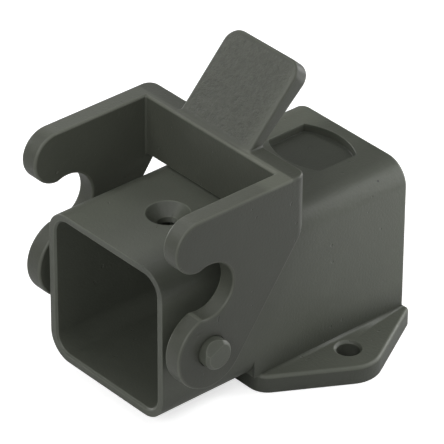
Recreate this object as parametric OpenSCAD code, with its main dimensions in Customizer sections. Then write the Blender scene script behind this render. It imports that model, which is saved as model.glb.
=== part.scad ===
// Angled bulkhead housing for a small rectangular connector, with its single locking lever.
// Units are millimetres. The origin lies midway between the two fixing holes, on the
// underside of the flange. The mouth faces -Y and the lever's pivot runs along X.

/* [Housing shell] */
// Outside width and height of the square body, across X and Z
body_size = 23.8;           // [22:0.1:27]
// Length of the body from the mouth to the rear face
body_length = 44.35;        // [42:0.1:50]
// Outside radius of the body's long corners
body_corner_r = 3.8;        // [3:0.1:5]
// Wall at the mouth, round the insert
mouth_wall = 1.25;          // [1:0.05:1.6]
// Wall round the wiring chamber, behind the insert
chamber_wall = 2.4;         // [2.2:0.1:3]
// Wall that closes the rear of the chamber
rear_wall = 2;              // [1.6:0.1:3]
// How far an insert slides in before it meets the stop ledge
insert_depth = 20.5;        // [18:0.1:22]
// Bevel round the inside of the mouth
mouth_lead = 0.3;           // [0.2:0.05:0.5]

/* [Flange] */
// Distance between the two fixing holes
hole_pitch = 30;            // [30:0.1:36]
// Diameter of each fixing hole
fixing_hole_d = 3.3;        // [2.8:0.1:3.8]
// Bevel at the top of each fixing hole
fixing_lead = 0.35;         // [0.2:0.05:0.5]
// Radius of the ear round each fixing hole
ear_r = 4.8;                // [4.2:0.1:5.5]
// Distance from the mouth back to the fixing holes
mouth_to_holes = 31;        // [30:0.05:33]
// Distance from the fixing holes forward to the front edge of the flange
flange_front = 14.1;        // [13.5:0.1:15]
// Radius of the flange's front corners
front_corner_r = 3.2;       // [2:0.1:4]
// Radius of the flange's rear corners
rear_corner_r = 0.7;        // [0.6:0.1:2]
// How far the flange stands out past the body on each side, at the front
flange_lip = 1.8;           // [1:0.1:2.2]
// How far the flange stands out past the body on each side, at the rear
rear_lip = 1.4;             // [0.8:0.1:2]
// Distance from the fixing holes forward to the front of the body's square foot
foot_front = 14.55;         // [14:0.1:15]
// How far the flange reaches below the body
flange_drop = 2.1;          // [1.6:0.1:2.6]
// How far the flange rises above the underside of the body
flange_rise = 0.7;          // [0.4:0.1:1.2]

/* [Wire outlet and seal] */
// Width of the outlet through the flange, across X
outlet_width = 18;          // [15:0.1:18.4]
// Distance from the fixing holes forward to the outlet's front edge
outlet_front = 9;           // [7:0.1:9.5]
// Distance from the fixing holes back to the outlet's rear edge
outlet_rear = 10;           // [8:0.1:10.4]
// Corner radius of the outlet
outlet_r = 2.5;             // [1.5:0.1:3]
// Land between the outlet and the seal's groove
seal_land = 0.8;            // [0.6:0.05:1]
// Width of the seal
seal_width = 1.6;           // [1.2:0.05:1.8]
// Thickness of the seal, from the groove's floor to the underside
seal_height = 1.2;          // [0.8:0.05:1.4]
// Gap between the seal and each side wall of its groove
seal_gap = 0.1;             // [0.05:0.01:0.2]

/* [Top face] */
// Distance from the mouth to the insert screw's hole
screw_from_mouth = 11.1;    // [9:0.1:12]
// Diameter of the countersink at the surface
screw_head_d = 6.2;         // [5.6:0.1:7]
// Diameter of the screw hole below the countersink
screw_hole_d = 3;           // [2.6:0.1:3.4]
// Length of the plain hole below the countersink
screw_floor = 0.9;          // [0.7:0.05:1.2]
// Diameter of the boss inside the top wall
screw_boss_d = 8.6;         // [8.2:0.1:9.4]
// Width of the blank recess on the rear top, across X
recess_width = 10.8;        // [9:0.1:13]
// Length of the blank recess along its middle, in Y
recess_length = 9.9;        // [8:0.1:10.5]
// How far the recess's front and rear edges bulge
recess_bulge = 1.6;         // [0.8:0.1:2.4]
// Depth of the blank recess
recess_depth = 1.25;        // [0.4:0.05:1.4]
// Distance from the rear face forward to the recess centre
recess_from_rear = 7.1;     // [6.6:0.1:8]

/* [Pivot studs] */
// Diameter of each stud
stud_d = 4.4;               // [4:0.1:5]
// Distance from the mouth back to the studs' axis
stud_from_mouth = 5.05;     // [4.6:0.1:5.4]
// Height of the studs' axis above the underside of the body
stud_height = 12.35;        // [11.5:0.05:13]
// How far each stud stands out past the lever's cheek
stud_proud = 1.75;          // [1.2:0.05:2]
// Bevel round each stud's end
stud_bevel = 0.4;           // [0.2:0.05:0.5]
// Length and depth of the ramp on top of each stud, which spreads the cheek
stud_ramp = 1;              // [0.5:0.05:1.3]
// How far the ramp is turned forward from straight up, in degrees
ramp_turn = 26;             // [0:1:45]
// Diameter of the shoulder that keeps the cheek off the body
shoulder_d = 7.6;           // [7:0.1:8.4]
// Gap between each shoulder and the cheek beside it
shoulder_gap = 0.12;        // [0.08:0.01:0.2]

/* [Locking lever] */
// Space between each cheek and the side of the body
cheek_gap = 1.4;            // [1.2:0.05:1.8]
// Thickness of each cheek
cheek_t = 2.87;             // [2.4:0.01:3.2]
// Gap between the stud and the wall of the lever's pivot hole
pivot_gap = 0.07;           // [0.05:0.01:0.1]
// Radius of the lobe round the pivot
lobe_r = 5.8;               // [5.4:0.1:6]
// Distance from the pivot up to the centre of the locking pocket
pocket_rise = 9.48;         // [9.3:0.02:9.7]
// Distance from the pivot forward to the centre of the locking pocket
pocket_shift = 0.35;        // [0.1:0.05:0.6]
// Radius of the locking pocket
pocket_r = 4.16;            // [4:0.02:4.3]
// Radius of the hooked nose in front of the pocket
nose_r = 3.9;               // [3.7:0.05:4]
// Distance from the pivot forward to the nose's centre
nose_shift = 2.2;           // [2:0.05:2.5]
// Height of the lever's top edge above the pivot
lever_rise = 21.05;         // [20.8:0.05:21.6]
// Distance from the pivot back to the front face of the web
web_back = 13.39;           // [13:0.01:14]
// Thickness of the web that joins the cheeks
web_t = 3.36;               // [3:0.01:3.8]
// Gap between the web and the top of the body when the lever lies back
web_gap = 0.2;              // [0.12:0.02:0.3]
// Height of the heel, where the rear edge turns forward, above the web's underside
heel_rise = 1.6;            // [1:0.1:2.4]
// Outside radius of the lever's two upright corners
web_corner_r = 1.7;         // [1:0.1:2.6]

/* [Thumb tab] */
// Width of the tab, across X
tab_width = 14.4;           // [11:0.1:16]
// Length of the tab along its front face
tab_length = 13.75;         // [10:0.1:15]
// Thickness of the tab at its tip
tab_t = 2.7;                // [2.2:0.05:3]
// How far the tab leans back from upright, in degrees
tab_lean = 43.1;            // [38:0.1:46]
// Distance the tab's front face is set back from the web's front face
tab_setback = 0.85;         // [0.6:0.05:1.1]
// Radius of the tab's two upper corners
tab_r = 2.4;                // [1.6:0.1:3]

/* [Hidden] */
$fn = 96;
eps = 0.01;
over = body_size / 20;
reach = body_size + body_length;
bw = body_size / 2;
y_mouth = -mouth_to_holes;
y_rear = body_length - mouth_to_holes;
y_ledge = y_mouth + insert_depth;
z_body = flange_drop;
z_top = z_body + body_size;
z_flange = flange_drop + flange_rise;
y_stud = y_mouth + stud_from_mouth;
z_stud = z_body + stud_height;
x_cheek = bw + cheek_gap;
x_outer = x_cheek + cheek_t;
x_stud = x_outer + stud_proud;
pivot_r = stud_d / 2 + pivot_gap;
y_pocket = y_stud - pocket_shift;
z_pocket = z_stud + pocket_rise;
y_web = y_stud + web_back;
y_back = y_web + web_t;
z_web = z_top + web_gap;
z_lever = z_stud + lever_rise;
y_nose = y_stud - nose_shift;
z_nose = z_lever - nose_r;
z_heel = z_web + heel_rise;
screw_head_depth = (screw_head_d - screw_hole_d) / 2;
y_screw = y_mouth + screw_from_mouth;
y_recess = y_rear - recess_from_rear;
shell_color = [0.29, 0.31, 0.28];
lever_color = [0.31, 0.32, 0.30];
seal_color = [0.09, 0.09, 0.09];

// Outer tangent normal between two circles taken anticlockwise
function tan_n(a, b) =
    let (d = [b[0] - a[0], b[1] - a[1]], l = norm(d), u = d / l, c = (a[2] - b[2]) / l, s = sqrt(1 - c * c))
    [c * u[0] + s * u[1], c * u[1] - s * u[0]];
function tan_p(a, n) = [a[0] + a[2] * n[0], a[1] + a[2] * n[1]];

// Round-cornered outline round a list of circles [x, y, r], anticlockwise
module belt(cs) {
    n = len(cs);
    polygon([for (i = [0 : n - 1]) let (a = cs[i], b = cs[(i + 1) % n], m = tan_n(a, b))
        each [tan_p(a, m), tan_p(b, m)]]);
    for (c = cs) translate([c[0], c[1]]) circle(r = c[2]);
}

// Upright block with round upright corners, from z0 to z1
module slab(x, y0, y1, r, z0, z1) {
    translate([0, 0, z0]) linear_extrude(z1 - z0)
        belt([[-x + r, y0 + r, r], [x - r, y0 + r, r], [x - r, y1 - r, r], [-x + r, y1 - r, r]]);
}

// Bar along Y with round long corners, half width x, from y0 to y1 and z0 to z1
module bar(x, z0, z1, r, y0, y1) {
    translate([0, y1, 0]) rotate([90, 0, 0]) linear_extrude(y1 - y0)
        belt([[-x + r, z0 + r, r], [x - r, z0 + r, r], [x - r, z1 - r, r], [-x + r, z1 - r, r]]);
}

module rod_x(r, x0, x1, y, z) {
    translate([x0, y, z]) rotate([0, 90, 0]) cylinder(r = r, h = x1 - x0);
}

module flange_plate() {
    hx = hole_pitch / 2;
    xf = bw + flange_lip - front_corner_r;
    xr = bw + rear_lip - rear_corner_r;
    yr = y_rear - rear_corner_r;
    linear_extrude(z_flange) belt([
        [-xf, front_corner_r - flange_front, front_corner_r],
        [xf, front_corner_r - flange_front, front_corner_r],
        [hx, 0, ear_r], [xr, yr, rear_corner_r],
        [-xr, yr, rear_corner_r], [-hx, 0, ear_r]]);
}

// Square foot that fills the body's round lower corners above the flange
module foot() {
    z0 = z_flange - flange_rise / 4;
    translate([-bw, -foot_front, z0]) cube([2 * bw, foot_front + y_rear, z_body + body_corner_r - z0]);
}

// Stud on the +X side, with its shoulder and the ramp the cheek springs over
module stud() {
    rod_x(shoulder_d / 2, bw - mouth_wall / 2, x_cheek - shoulder_gap, y_stud, z_stud);
    difference() {
        union() {
            rod_x(stud_d / 2, bw - mouth_wall / 2, x_stud - stud_bevel, y_stud, z_stud);
            translate([x_stud - stud_bevel, y_stud, z_stud]) rotate([0, 90, 0])
                cylinder(r1 = stud_d / 2, r2 = stud_d / 2 - stud_bevel, h = stud_bevel);
        }
        translate([x_stud - stud_ramp, y_stud, z_stud]) rotate([ramp_turn, 0, 0])
            translate([0, 0, stud_d / 2]) rotate([0, 45, 0])
            translate([-stud_d / 4, -stud_d, 0]) cube([stud_d, 2 * stud_d, stud_d]);
    }
}

// Insert socket, wiring chamber and outlet, as one cut
module inside() {
    bar(bw - mouth_wall, z_body + mouth_wall, z_top - mouth_wall, body_corner_r - mouth_wall,
        y_mouth - over, y_ledge);
    bar(bw - chamber_wall, z_body + chamber_wall, z_top - chamber_wall, body_corner_r - mouth_wall,
        y_ledge - over, y_rear - rear_wall);
    slab(outlet_width / 2, -outlet_front, outlet_rear, outlet_r, -over, z_body + chamber_wall + over);
}

// Bevel round the inner edge of the mouth
module mouth_bevel() {
    h = bw - mouth_wall;
    zm = z_body + bw;
    for (a = [0 : 90 : 270]) translate([0, y_mouth, zm]) rotate([0, a, 0])
        translate([0, 0, h]) rotate([45, 0, 0])
        translate([-h + body_corner_r - mouth_wall, -mouth_lead * 0.7071, -mouth_lead * 0.7071])
        cube([2 * (h - body_corner_r + mouth_wall), mouth_lead * 1.4142, mouth_lead * 1.4142]);
    for (i = [-1, 1], j = [-1, 1])
        translate([i * (h - body_corner_r + mouth_wall), y_mouth - eps, zm + j * (h - body_corner_r + mouth_wall)])
        rotate([-90, 0, 0])
        cylinder(r1 = body_corner_r - mouth_wall + mouth_lead + eps, r2 = body_corner_r - mouth_wall - eps,
                 h = mouth_lead + 2 * eps);
}

module seal_ring(side, z0, z1) {
    g = seal_land;
    difference() {
        slab(outlet_width / 2 + g + seal_width - side, -outlet_front - g - seal_width + side,
             outlet_rear + g + seal_width - side, outlet_r + g + seal_width - side, z0, z1);
        slab(outlet_width / 2 + g + side, -outlet_front - g - side,
             outlet_rear + g + side, outlet_r + g + side, z0 - over, z1 + over);
    }
}

// The moulded housing: body, flange, studs and everything cut into them
module housing() {
    color(shell_color) difference() {
        union() {
            difference() {
                union() {
                    bar(bw, z_body, z_top, body_corner_r, y_mouth, y_rear);
                    flange_plate();
                    foot();
                    for (m = [0, 1]) mirror([m, 0, 0]) stud();
                }
                inside();
            }
            translate([0, y_screw, z_top - screw_head_depth - screw_floor])
                cylinder(d = screw_boss_d, h = screw_head_depth + screw_floor - mouth_wall / 2);
        }
        mouth_bevel();
        screw_hole();
        recess();
        for (i = [-1, 1]) translate([i * hole_pitch / 2, 0, 0]) {
            translate([0, 0, -over]) cylinder(d = fixing_hole_d, h = z_flange + 2 * over);
            translate([0, 0, z_flange - fixing_lead])
                cylinder(d1 = fixing_hole_d, d2 = fixing_hole_d + 2 * fixing_lead + 2 * eps,
                         h = fixing_lead + eps);
        }
        seal_ring(0, -over, seal_height);
    }
}

// Countersunk hole for the screw that holds the insert
module screw_hole() {
    translate([0, y_screw, z_top - screw_head_depth - screw_floor - over])
        cylinder(d = screw_hole_d, h = screw_head_depth + screw_floor + over);
    translate([0, y_screw, z_top - screw_head_depth])
        cylinder(d1 = screw_hole_d, d2 = screw_head_d + 2 * eps, h = screw_head_depth + eps);
}

// Blank barrel-shaped recess on the rear top
module recess() {
    h = recess_width / 2;
    r = (h * h + recess_bulge * recess_bulge) / (2 * recess_bulge);
    shift = r - recess_length / 2;
    translate([0, y_recess, z_top - recess_depth]) intersection() {
        translate([-h, -recess_length, 0]) cube([2 * h, 2 * recess_length, recess_depth + over]);
        translate([0, shift, 0]) cylinder(r = r, h = recess_depth + over);
        translate([0, -shift, 0]) cylinder(r = r, h = recess_depth + over);
    }
}

// The rubber seal in the groove under the flange
module flange_gasket() {
    color(seal_color) seal_ring(seal_gap, 0, seal_height);
}

// Side outline of one cheek, drawn in Y and Z
module cheek_outline() {
    heel = [y_back, z_heel, 0];
    lobe = [y_stud, z_stud, lobe_r];
    n = tan_n(lobe, heel);
    t = tan_p(lobe, n);
    difference() {
        union() {
            polygon([[y_nose, z_lever], [y_nose, z_nose], [y_pocket, z_pocket], [y_stud, z_stud],
                     t, [y_back, z_heel], [y_back, z_lever]]);
            translate([y_nose, z_nose]) circle(r = nose_r);
            translate([y_stud, z_stud]) circle(r = lobe_r);
        }
        translate([y_pocket, z_pocket]) circle(r = pocket_r);
        translate([y_stud, z_stud]) circle(r = pivot_r);
    }
}

// Thumb tab, leaning back from the web
module tab() {
    c = cos(tab_lean);
    s = sin(tab_lean);
    yf = y_web + tab_setback;
    tip = [yf + tab_length * s, z_lever + tab_length * c];
    w = tab_width / 2;
    intersection() {
        translate([-w, 0, 0]) rotate([90, 0, 90]) linear_extrude(tab_width) polygon([
            [yf - 0.4 * s / c, z_lever - 0.4], [y_back, z_lever - 0.4], [y_back, z_lever],
            [tip[0] + tab_t * c, tip[1] - tab_t * s], tip]);
        translate([0, yf, z_lever]) rotate([-tab_lean, 0, 0]) translate([0, 2 * tab_t, 0])
            rotate([90, 0, 0]) linear_extrude(4 * tab_t) union() {
                translate([-w, -2 * tab_t]) square([tab_width, tab_length + 2 * tab_t - tab_r]);
                translate([-w + tab_r, 0]) square([tab_width - 2 * tab_r, tab_length]);
                for (i = [-1, 1]) translate([i * (w - tab_r), tab_length - tab_r]) circle(r = tab_r);
            }
    }
}

// The moulded lever: two hooked cheeks, the web that joins them and the thumb tab
module locking_lever() {
    color(lever_color) {
        difference() {
            intersection() {
                translate([-x_outer, 0, 0]) rotate([90, 0, 90]) linear_extrude(2 * x_outer)
                    cheek_outline();
                slab(x_outer, y_web - reach, y_back, web_corner_r, 0, reach);
            }
            translate([-x_cheek, y_web - reach, 0]) cube([2 * x_cheek, reach, reach]);
            translate([-x_cheek, y_back + over - reach, 0]) cube([2 * x_cheek, reach, z_web]);
        }
        tab();
    }
}

housing();
flange_gasket();
locking_lever();
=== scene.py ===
from math import cos, radians, sin

import bmesh
import bpy
from mathutils import Matrix, Vector

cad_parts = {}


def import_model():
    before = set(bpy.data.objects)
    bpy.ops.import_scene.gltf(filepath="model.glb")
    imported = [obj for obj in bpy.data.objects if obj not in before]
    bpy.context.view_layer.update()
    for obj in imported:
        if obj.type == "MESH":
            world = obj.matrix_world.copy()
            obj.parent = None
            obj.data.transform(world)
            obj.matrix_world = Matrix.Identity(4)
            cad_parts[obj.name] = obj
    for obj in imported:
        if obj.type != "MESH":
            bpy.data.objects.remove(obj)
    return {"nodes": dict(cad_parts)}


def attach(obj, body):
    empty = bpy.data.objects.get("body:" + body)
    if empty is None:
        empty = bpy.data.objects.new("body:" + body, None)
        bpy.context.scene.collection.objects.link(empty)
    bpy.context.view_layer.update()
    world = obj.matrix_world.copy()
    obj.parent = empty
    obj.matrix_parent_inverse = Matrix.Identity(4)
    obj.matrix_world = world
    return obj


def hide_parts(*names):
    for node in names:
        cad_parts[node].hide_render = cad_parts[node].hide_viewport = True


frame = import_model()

MM = 0.001

# Sizes and places of the housing and the lever, in millimetres as in the part's source
BODY_HALF = 11.9
BODY_TOP = 25.9
MOUTH_Y = -31.0
REAR_Y = 13.35
FLANGE_TOP = 2.8
FOOT_FRONT = -14.55
HOLE_X = 15.0
SCREW_Y = -19.9
SCREW_HEAD_R = 3.1
RECESS_HALF = 7.0
RECESS_FRONT, RECESS_REAR = 0.6, 11.5
RECESS_FLOOR = BODY_TOP - 1.25
PIVOT_Y, PIVOT_Z = -25.95, 14.45
CHEEK_OUT = 16.17
LEVER_TOP = 35.5
TAB_Y = -11.71
TAB_LEAN = radians(43.1)
TAB_HALF = 7.2
TAB_LENGTH = 13.75

# Finish of the mouldings
SHELL_TONE, SHELL_LIGHT = (0.072, 0.0785, 0.062), (0.095, 0.102, 0.082)
LEVER_TONE, LEVER_LIGHT = (0.06, 0.0645, 0.0505), (0.078, 0.083, 0.066)
BUMP_HEIGHT = 0.12 * MM
BLOOM_HEIGHT = 0.06 * MM

# Rounding of the edges
WELD = 0.002 * MM
SHARP_FROM = radians(28)
BIG_ROUND = 0.3

# Main view
VIEW_PLACE = Vector((355.755, -320.269, 321.367)) * MM
VIEW_AZIMUTH, VIEW_ELEVATION, VIEW_ROLL = radians(48.925), radians(32.528), radians(0.326)

# Middle of the part, which the far lamps stand round, in millimetres
MIDDLE = Vector((0, -8, 18))

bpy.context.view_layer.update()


# ---------------------------------------------------------------- shader tools

class Sock:
    """A shader socket that takes part in arithmetic."""

    def __init__(self, sheet, socket):
        self.sheet, self.socket = sheet, socket

    def _math(self, operation, a, b=0.0):
        return self.sheet.node("ShaderNodeMath", {"operation": operation}, {0: a, 1: b})

    def __add__(self, other): return self._math("ADD", self, other)
    def __radd__(self, other): return self._math("ADD", other, self)
    def __sub__(self, other): return self._math("SUBTRACT", self, other)
    def __rsub__(self, other): return self._math("SUBTRACT", other, self)
    def __mul__(self, other): return self._math("MULTIPLY", self, other)
    def __rmul__(self, other): return self._math("MULTIPLY", other, self)
    def __pow__(self, other): return self._math("POWER", self, other)
    def __abs__(self): return self._math("ABSOLUTE", self)

    def clamped(self):
        out = self._math("MULTIPLY", self, 1.0)
        out.socket.node.use_clamp = True
        return out


class Sheet:
    """The node tree of one material."""

    def __init__(self, name):
        self.material = bpy.data.materials.new(name)
        self.material.use_nodes = True
        self.tree = self.material.node_tree
        self.tree.nodes.clear()

    def node(self, kind, settings=None, values=None, out=0):
        made = self.tree.nodes.new(kind)
        for key, value in (settings or {}).items():
            setattr(made, key, value)
        for key, value in (values or {}).items():
            if isinstance(value, Sock):
                self.tree.links.new(value.socket, made.inputs[key])
            else:
                made.inputs[key].default_value = value
        return Sock(self, made.outputs[out]) if len(made.outputs) else None

    def place(self):
        """Object coordinates, in millimetres."""
        here = self.node("ShaderNodeTexCoord", out="Object")
        return self.node("ShaderNodeVectorMath", {"operation": "SCALE"}, {0: here, "Scale": 1000.0})

    def split(self, vector):
        made = self.tree.nodes.new("ShaderNodeSeparateXYZ")
        self.tree.links.new(vector.socket, made.inputs[0])
        return [Sock(self, made.outputs[i]) for i in range(3)]

    def noise(self, where, scale, detail=2.0, rough=0.5):
        return self.node("ShaderNodeTexNoise", {}, {
            "Vector": where, "Scale": scale, "Detail": detail, "Roughness": rough}, out=0)

    def fade(self, value, start, end):
        """0 at start, 1 at end, smooth between them."""
        return self.node(
            "ShaderNodeMapRange", {"interpolation_type": "SMOOTHSTEP", "clamp": True},
            {"Value": value, "From Min": start, "From Max": end, "To Min": 0.0, "To Max": 1.0})

    def blend(self, factor, a, b):
        made = self.tree.nodes.new("ShaderNodeMix")
        made.data_type = "RGBA"
        for socket, value in ((made.inputs[0], factor), (made.inputs[6], a), (made.inputs[7], b)):
            if isinstance(value, Sock):
                self.tree.links.new(value.socket, socket)
            else:
                socket.default_value = value
        return Sock(self, made.outputs[2])

    def finish(self, colour, rough, bump, distance):
        """A dielectric surface with a bump given as a height in units of distance."""
        normal = self.node("ShaderNodeBump", {}, {
            "Strength": 1.0, "Distance": distance, "Height": bump})
        skin = self.node("ShaderNodeBsdfPrincipled", {}, {
            "Base Color": colour, "Roughness": rough, "Normal": normal,
            "Specular IOR Level": 0.5})
        self.node("ShaderNodeOutputMaterial", {}, {"Surface": skin})
        return self.material


def tint(tone, gain=1.0):
    return [c * gain for c in tone] + [1.0]


def satin(s, here, tone, light, edge_share):
    """Fine moulded texture with lighter edges: its colour, roughness and height."""
    cloud = s.noise(here, 0.09, 3.0, 0.55)
    fine = s.noise(here, 2.6, 3.0, 0.6)
    pits = s.fade(s.noise(here, 0.9, 1.0, 0.4), 0.24, 0.2)
    pale = s.fade(s.noise(here, 0.45, 4.0, 0.6), 0.52, 0.72)
    shade = (cloud - 0.5) * 0.9 + (fine - 0.5) * 0.25 + 0.45
    colour = s.blend(shade.clamped(), tint(tone), tint(light))
    colour = s.blend(pale * 0.16, colour, tint(light, 1.25))
    # A lighter tone on the rounded convex edges that moulded() marks.
    edge = s.node("ShaderNodeAttribute", {"attribute_name": "lighter_edges"}, {}, out=2)
    colour = s.blend(edge * edge_share, colour, tint(light, 1.9))
    rough = (cloud - 0.5) * 0.12 + (fine - 0.5) * 0.1 + 0.47
    height = (fine - 0.5) * 0.35 + pits * -0.6
    return colour, rough, height


def shell_plastic():
    """The housing's plastic. Apart from the speck, its patches of darker and lighter tone stand
    in for shade and gloss in the main view, and aren't dirt or wear."""
    s = Sheet("shell_plastic")
    here = s.place()
    x, y, z = s.split(here)
    colour, rough, height = satin(s, here, SHELL_TONE, SHELL_LIGHT, 0.3)

    skirt = s.fade(z, FLANGE_TOP - 0.35, FLANGE_TOP - 0.6)
    upper = s.fade(z, BODY_TOP - 0.5, BODY_TOP - 0.2)
    pale_rear = s.fade(y, 0.5, 3.0) * s.fade(x, -2.5, -6.5)
    pale_front = s.fade(y, -19.0, -25.0) * s.fade(x, -0.5, -6.0)
    recess = (s.fade(z, RECESS_FLOOR + 0.35, RECESS_FLOOR + 0.05)
              * s.fade(z, RECESS_FLOOR - 0.75, RECESS_FLOOR - 0.35)
              * s.fade(y, RECESS_FRONT - 0.6, RECESS_FRONT)
              * s.fade(y, RECESS_REAR + 0.5, RECESS_REAR)
              * s.fade(abs(x), RECESS_HALF + 0.5, RECESS_HALF))
    wall = (s.fade(abs(x), BODY_HALF + 0.4, BODY_HALF + 0.2)
            * s.fade(abs(x), BODY_HALF - 0.5, BODY_HALF - 0.3))
    foot = (wall * s.fade(z, FLANGE_TOP + 5.0, FLANGE_TOP + 0.2)
            * s.fade(z, FLANGE_TOP - 0.4, FLANGE_TOP))
    from_screw = x * x + (y - SCREW_Y) ** 2
    cone = (s.fade(from_screw, SCREW_HEAD_R ** 2 - 0.11, SCREW_HEAD_R ** 2 - 0.41)
            * s.fade(z, BODY_TOP - 0.02, BODY_TOP - 0.12)
            * s.fade(z, BODY_TOP - 3.0, BODY_TOP - 2.8))
    cone_left = s.fade(x + (y - SCREW_Y) * 0.25, 0.1, -0.8)
    shoulder = s.fade(z, BODY_TOP - 4.5, BODY_TOP - 2.5)
    under_nose = s.fade(x, 4.5, 8.5) * s.fade(y, -17.0, -20.0)
    behind_lever = s.fade(x, 2.0, 6.0) * s.fade(x, 11.0, 9.0) * s.fade(y, -6.0, -2.0)
    speck = (x - 10.96) ** 2 + (y - 8.6) ** 2 + (z - 24.6) ** 2

    shade = tint(SHELL_TONE, 0.3)
    for mask, shown in (
            (skirt * 0.42, shade),
            (upper * (pale_rear + pale_front * 0.4) * 0.8, tint(SHELL_LIGHT, 1.5)),
            (recess * 0.35, shade),
            (foot * 0.4, shade),
            (cone * cone_left * 0.35, tint(SHELL_TONE, 0.25)),
            (shoulder * (under_nose + behind_lever * 0.45) * 0.32, shade),
            (s.fade(speck, 0.04, 0.015) * 0.85, [0.01, 0.01, 0.01, 1.0])):
        colour = s.blend(mask, colour, shown)
    return s.finish(colour, rough, height, BUMP_HEIGHT)


def lever_plastic():
    """The lever's plastic, with a coarser grain on the thumb tab. The darker cheeks and tab and
    the lighter rim stand in for shade and gloss in the main view."""
    s = Sheet("lever_plastic")
    here = s.place()
    x, y, z = s.split(here)
    colour, rough, height = satin(s, here, LEVER_TONE, LEVER_LIGHT, 0.4)

    along = (y - TAB_Y) * sin(TAB_LEAN) + (z - LEVER_TOP) * cos(TAB_LEAN)
    depth = (y - TAB_Y) * cos(TAB_LEAN) - (z - LEVER_TOP) * sin(TAB_LEAN)
    grained = (s.fade(along, 0.4, 1.0) * s.fade(along, TAB_LENGTH - 0.5, TAB_LENGTH - 1.1)
               * s.fade(abs(x), TAB_HALF - 0.5, TAB_HALF - 0.9) * s.fade(depth, 0.3, 0.1))
    grain = s.noise(here, 1.3, 4.0, 0.75)
    height = height + (grain - 0.5) * grained * 3.6
    rough = rough + grained * 0.1

    cheek = s.fade(abs(x), CHEEK_OUT - 0.15, CHEEK_OUT - 0.03)
    rim = s.fade(z, LEVER_TOP - 0.45, LEVER_TOP - 0.15) * s.fade(depth, 0.1, -0.1)
    rim_end = rim * s.fade(x, 4.5, 7.0) * s.fade(y, -17.0, -15.0)
    for mask, shown in (
            (s.fade(along, -0.2, 0.3) * 0.4, tint(LEVER_TONE, 0.6)),
            (grained * s.fade(grain, 0.4, 0.6) * 0.3, tint(LEVER_LIGHT, 1.35)),
            (cheek * 0.42, tint(LEVER_TONE, 0.5)),
            (rim * 0.25, tint(LEVER_LIGHT, 1.5)),
            (rim_end * 0.6, tint(LEVER_LIGHT, 1.8))):
        colour = s.blend(mask, colour, shown)
    return s.finish(colour, rough, height, BUMP_HEIGHT)


def seal_rubber():
    """Matt black seal rubber with a faint bloom."""
    s = Sheet("seal_rubber")
    here = s.place()
    bloom = s.noise(here, 0.5, 3.0, 0.6)
    fine = s.noise(here, 4.0, 2.0, 0.5)
    colour = s.blend(s.fade(bloom, 0.4, 0.75) * 0.5, tint((0.016, 0.016, 0.016)),
                     tint((0.035, 0.035, 0.034)))
    return s.finish(colour, (fine - 0.5) * 0.15 + 0.72, fine, BLOOM_HEIGHT)


# ---------------------------------------------------------------- pieces

def off_line(point, a, b):
    """Distance from a point to the segment a-b."""
    along = b - a
    reach = min(max((point - a).dot(along) / max(along.length_squared, 1e-18), 0.0), 1.0)
    return (point - a - along * reach).length


def moulded(node, body, material, radii):
    """A CAD node with its sharp edges rounded by radii(middle, edge), in mm. Rounded convex
    edges are marked for a lighter tone in the material."""
    source = frame["nodes"][node]
    bm = bmesh.new()
    bm.from_mesh(source.data)
    edge_mark = bm.faces.layers.float.new("lighter_edges")
    bmesh.ops.remove_doubles(bm, verts=bm.verts, dist=WELD)
    bmesh.ops.dissolve_limit(bm, angle_limit=radians(0.25), verts=bm.verts, edges=bm.edges)
    groups = {}
    for edge in bm.edges:
        if len(edge.link_faces) != 2 or edge.calc_face_angle(0.0) < SHARP_FROM:
            continue
        middle = (edge.verts[0].co + edge.verts[1].co) / 2
        radius = radii(middle / MM, edge)
        if radius > 0:
            groups.setdefault(radius, []).append(edge)
    for radius in sorted(groups, reverse=True):
        edges = [e for e in groups[radius] if e.is_valid]
        hollow = [(e.verts[0].co.copy(), e.verts[1].co.copy())
                  for e in edges if not e.is_convex]
        made = bmesh.ops.bevel(
            bm, geom=edges, offset=radius * MM, offset_type="OFFSET", affect="EDGES",
            segments=3, profile=0.5, material=-1, clamp_overlap=radius < BIG_ROUND)
        for face in made["faces"]:
            middle = face.calc_center_median()
            inside = any(off_line(middle, a, b) < 1.5 * radius * MM for a, b in hollow)
            face[edge_mark] = 0.0 if inside else 1.0
    bmesh.ops.remove_doubles(bm, verts=bm.verts, dist=WELD)
    mesh = bpy.data.meshes.new(node + "_rounded")
    bm.to_mesh(mesh)
    bm.free()
    for face in mesh.polygons:
        face.use_smooth = True
    mesh.set_sharp_from_angle(angle=radians(50))
    piece = bpy.data.objects.new(node + "_rounded", mesh)
    bpy.context.scene.collection.objects.link(piece)
    mesh.materials.append(material)
    even = piece.modifiers.new("even_normals", "WEIGHTED_NORMAL")
    even.keep_sharp = True
    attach(piece, body)
    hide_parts(node)


def shell_radii(p, edge):
    x, y, z = abs(p.x), p.y, p.z
    if z < 0.05 or y < MOUTH_Y + 0.6:  # underside, mouth's rim
        return 0.15
    if x > BODY_HALF + 1.3 and z > 5:  # studs and shoulders
        return 0.12
    at_hole = (x - HOLE_X) ** 2 + y ** 2 < 8
    if at_hole or z < FLANGE_TOP - 0.05 and y < -12:  # fixing holes, front lip
        return 0.1
    if y > REAR_Y - 0.02 and z > FLANGE_TOP + 0.1:  # rear face
        return 0.45
    if abs(z - FLANGE_TOP) < 0.02:  # top of the flange
        if not edge.is_convex:
            return 0
        return 0.45 if x > BODY_HALF + 0.02 or y < FOOT_FRONT + 0.05 else 0.2
    if y < FOOT_FRONT + 0.35 and x > BODY_HALF - 3 and z < 6:  # front of the foot
        return 0.2
    return 0.15


def lever_radii(p, edge):
    at_bore = (p.y - PIVOT_Y) ** 2 + (p.z - PIVOT_Z) ** 2 < 6.5
    return 0.1 if at_bore else 0.35


moulded("housing", "housing_body", shell_plastic(), shell_radii)
moulded("locking_lever", "lever_body", lever_plastic(), lever_radii)

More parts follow.
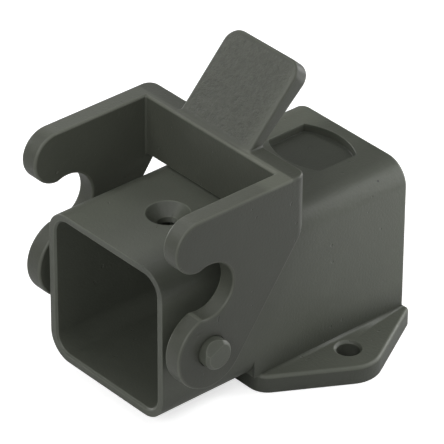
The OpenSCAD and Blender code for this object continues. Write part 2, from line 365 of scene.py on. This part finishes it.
gasket = frame["nodes"]["flange_gasket"]
gasket.data.materials.clear()
gasket.data.materials.append(seal_rubber())


# ---------------------------------------------------------------- studio

def world():
    """A faint even light, white where the camera sees it."""
    studio = bpy.data.worlds.new("studio")
    bpy.context.scene.world = studio
    studio.use_nodes = True
    tree = studio.node_tree
    tree.nodes.clear()
    path = tree.nodes.new("ShaderNodeLightPath")
    mix = tree.nodes.new("ShaderNodeMixShader")
    out = tree.nodes.new("ShaderNodeOutputWorld")
    tree.links.new(path.outputs["Is Camera Ray"], mix.inputs[0])
    for place, strength in ((1, 0.03), (2, 1.0)):
        light = tree.nodes.new("ShaderNodeBackground")
        light.inputs["Color"].default_value = (1.0, 1.0, 1.0, 1.0)
        light.inputs["Strength"].default_value = strength
        tree.links.new(light.outputs[0], mix.inputs[place])
    tree.links.new(mix.outputs[0], out.inputs[0])


def floor():
    """A white floor that keeps a light shadow."""
    bm = bmesh.new()
    bmesh.ops.create_grid(bm, x_segments=8, y_segments=8, size=1.6)
    mesh = bpy.data.meshes.new("studio_floor")
    bm.to_mesh(mesh)
    bm.free()
    piece = bpy.data.objects.new("studio_floor", mesh)
    piece.location = (0.0, 0.0, -0.1 * MM)
    bpy.context.scene.collection.objects.link(piece)
    s = Sheet("floor_white")
    ray = s.node("ShaderNodeLightPath", out="Is Camera Ray")
    plain = s.node("ShaderNodeBsdfDiffuse", {}, {"Color": [0.8, 0.8, 0.8, 1.0]})
    glow = s.node("ShaderNodeEmission", {}, {"Color": [1.0, 1.0, 1.0, 1.0], "Strength": 0.7})
    both = s.node("ShaderNodeAddShader", {}, {0: plain, 1: glow})
    mixed = s.node("ShaderNodeMixShader", {}, {0: ray, 1: plain, 2: both})
    s.node("ShaderNodeOutputMaterial", {}, {"Surface": mixed})
    mesh.materials.append(s.material)


def around(azimuth, elevation, distance=500):
    """A place round the middle of the part, by angles in degrees and a distance in mm."""
    a, e = radians(azimuth), radians(elevation)
    return MIDDLE + Vector((cos(e) * cos(a), cos(e) * sin(a), sin(e))) * distance


def lamps():
    """Square lamps: name, place, aim and side in mm, power in watts. The powers were fitted
    together for the main view."""
    rows = [
        ("low_left", around(190, 10), MIDDLE, 160, 0.83),
        ("low_right", around(315, 10), MIDDLE, 160, 0.066),
        ("front_right", around(300, 32), MIDDLE, 160, 0.76),
        ("front", around(262, 32), MIDDLE, 160, 0.28),
        ("high_right", around(0, 55), MIDDLE, 160, 0.33),
        ("high_left", around(165, 60, 450), MIDDLE, 50, 0.1),
        ("high_rear", around(110, 55), MIDDLE, 160, 0.09),
        ("low_rear", around(90, 10), MIDDLE, 160, 0.74),
        ("side_glow", (45, 55, 30), (12, 8, 12), 30, 0.0134),
        ("side_fill", (70, 70, 100), (12, 8, 15), 50, 0.0324),
        ("near_left", (-90, 30, 90), (-5, 0, 27), 50, 0.0123),
        ("near_front", (-30, -60, 100), (0, -20, 30), 40, 0.0116),
        ("near_top", (0, -30, 120), (0, -20, 30), 40, 0.0128),
    ]
    for name, place, aim, side, power in rows:
        place, aim = Vector(place) * MM, Vector(aim) * MM
        data = bpy.data.lights.new(name, "AREA")
        data.shape = "SQUARE"
        data.size = side * MM
        data.energy = power
        lamp = bpy.data.objects.new(name, data)
        lamp.location = place
        lamp.rotation_mode = "QUATERNION"
        lamp.rotation_quaternion = (aim - place).to_track_quat("-Z", "Y")
        bpy.context.scene.collection.objects.link(lamp)


def camera():
    """A long lens from the front right, above."""
    data = bpy.data.cameras.new("viewpoint")
    data.sensor_width = 36.0
    data.lens = 331.56
    data.clip_start, data.clip_end = 0.05, 10.0
    eye = bpy.data.objects.new("viewpoint", data)
    turn = (Matrix.Rotation(VIEW_AZIMUTH, 4, "Z")
            @ Matrix.Rotation(radians(90) - VIEW_ELEVATION, 4, "X")
            @ Matrix.Rotation(VIEW_ROLL, 4, "Z"))
    eye.matrix_world = Matrix.Translation(VIEW_PLACE) @ turn
    bpy.context.scene.collection.objects.link(eye)
    bpy.context.scene.camera = eye


world()
floor()
lamps()
camera()
bpy.context.scene.view_settings.view_transform = "Standard"
